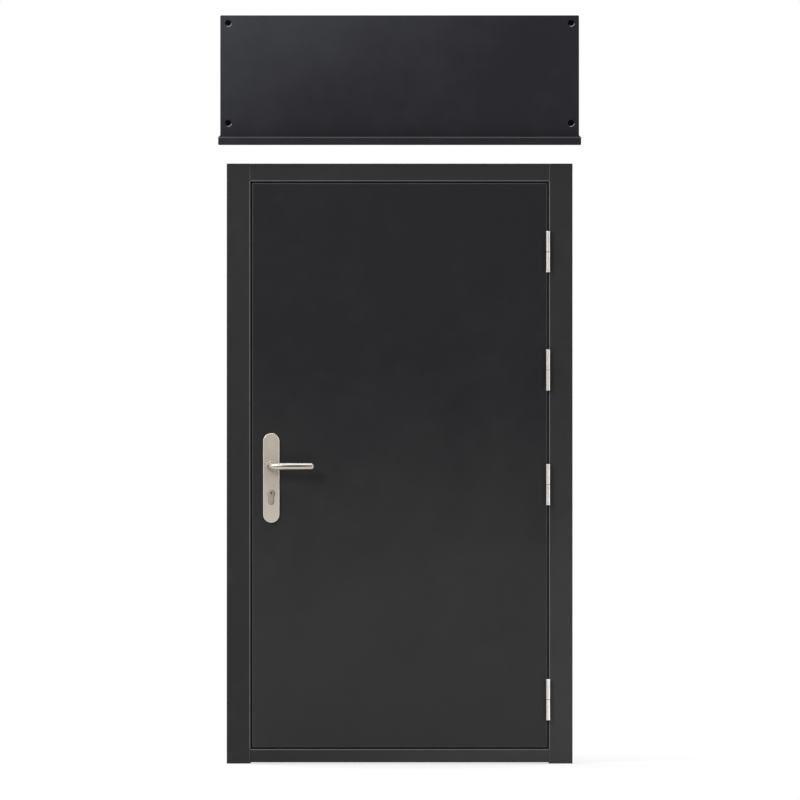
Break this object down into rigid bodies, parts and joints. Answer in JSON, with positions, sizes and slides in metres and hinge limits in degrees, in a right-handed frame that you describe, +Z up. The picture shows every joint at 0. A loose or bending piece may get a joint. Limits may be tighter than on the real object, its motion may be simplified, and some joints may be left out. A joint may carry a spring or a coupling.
{
  "type": "container personnel door",
  "caption": "Plain dark steel personnel door in a folded rebated frame, with lift-off barrel hinges, a long lever plate and mortise lock, and a flashing panel above.",
  "frame": {"origin": "on the floor line, midway between the jambs, in the middle of the leaf's thickness", "axes": "+X across the doorway towards the hinges as seen from outside, +Y into the container, +Z up"},
  "size_m": [1.209, 0.1608, 2.494],
  "materials": {
    "frame_paint": "matt anthracite powder coat on folded steel",
    "leaf_paint": "matt anthracite powder coat on steel sheet",
    "panel_paint": "matt anthracite powder coat on steel sheet, slightly bluer",
    "mineral_wool": "light fibre core, hidden",
    "seal_rubber": "black sealing strip",
    "zinc_steel": "dull zinc plate",
    "black_screw": "blackened steel",
    "hinge_steel": "bright satin stainless steel",
    "satin_stainless": "warm satin stainless steel, brushed upright",
    "nickel_brass": "matt nickel plate on brass",
    "black_washer": "dark bearing washer",
    "guard_nickel": "matt satin collar",
    "plated_steel": "zinc-plated screw steel"
  },
  "bodies": {
    "frame": {"frame_hinge_screws": "plated_steel", "head": "frame_paint", "head_seal": "seal_rubber", "hinge_1_frame_half": "hinge_steel", "hinge_1_pin": "hinge_steel", "hinge_1_washer": "black_washer", "hinge_2_frame_half": "hinge_steel", "hinge_2_pin": "hinge_steel", "hinge_2_washer": "black_washer", "hinge_3_frame_half": "hinge_steel", "hinge_3_pin": "hinge_steel", "hinge_3_washer": "black_washer", "hinge_4_frame_half": "hinge_steel", "hinge_4_pin": "hinge_steel", "hinge_4_washer": "black_washer", "hinge_jamb": "frame_paint", "hinge_side_seal": "seal_rubber", "jamb_hinge_backing": "zinc_steel", "lock_jamb": "frame_paint", "lock_side_seal": "seal_rubber", "over_panel": "panel_paint", "over_panel_screws": "black_screw", "sill": "frame_paint", "sill_seal": "seal_rubber", "strike_plate": "satin_stainless", "strike_screws": "plated_steel"},
    "leaf": {"core": "mineral_wool", "cylinder_body": "nickel_brass", "cylinder_screw": "plated_steel", "door_hinge_screws": "plated_steel", "forend": "satin_stainless", "forend_screws": "plated_steel", "hinge_1_door_half": "hinge_steel", "hinge_2_door_half": "hinge_steel", "hinge_3_door_half": "hinge_steel", "hinge_4_door_half": "hinge_steel", "hinge_stile": "zinc_steel", "inner_skin": "leaf_paint", "inside_bush": "satin_stainless", "inside_guard": "guard_nickel", "inside_plate": "satin_stainless", "lock_case": "zinc_steel", "lock_cover": "zinc_steel", "lock_stile": "zinc_steel", "outer_skin": "leaf_paint", "outside_bush": "satin_stainless", "outside_guard": "guard_nickel", "outside_plate": "satin_stainless", "plate_screws": "plated_steel"},
    "lever": {"follower": "plated_steel", "inside_lever": "satin_stainless", "inside_lever_cap": "satin_stainless", "outside_lever": "satin_stainless", "outside_lever_cap": "satin_stainless", "spindle": "plated_steel"},
    "latch": {"latch_bolt": "plated_steel"},
    "dead_bolt": {"dead_bolt": "plated_steel"},
    "outside_key": {"outside_plug": "nickel_brass", "cam": "nickel_brass"},
    "inside_key": {"inside_plug": "nickel_brass"}
  },
  "joints": [
    {"name": "door_swing", "type": "hinge", "parent": "frame", "child": "leaf", "pos_m": [0.495, -0.032, 0], "axis": [0, 0, 1], "range_deg": [0, 170]},
    {"name": "lever_turn", "type": "hinge", "parent": "leaf", "child": "lever", "pos_m": [-0.428, 0, 0.991], "axis": [0, 1, 0], "range_deg": [0, 40], "stiffness_Nm_per_rad": 1.5, "springref_deg": -68.75},
    {"name": "latch_slide", "type": "slide", "parent": "leaf", "child": "latch", "axis": [1, 0, 0], "range_m": [0, 0.012]},
    {"name": "key_turn", "type": "hinge", "parent": "leaf", "child": "outside_key", "pos_m": [-0.428, 0, 0.899], "axis": [0, 1, 0], "range_deg": [0, 360]},
    {"name": "dead_bolt_slide", "type": "slide", "parent": "leaf", "child": "dead_bolt", "axis": [-1, 0, 0], "range_m": [0, 0.02]},
    {"name": "inside_key_turn", "type": "hinge", "parent": "leaf", "child": "inside_key", "pos_m": [-0.428, 0, 0.899], "axis": [0, 1, 0], "range_deg": [0, 360]}
  ],
  "couplings": [
    {"joint": "latch_slide", "follows": "lever_turn", "m_per_rad": 0.01718},
    {"joint": "key_turn", "follows": "dead_bolt_slide", "rad_per_m": 314}
  ]
}
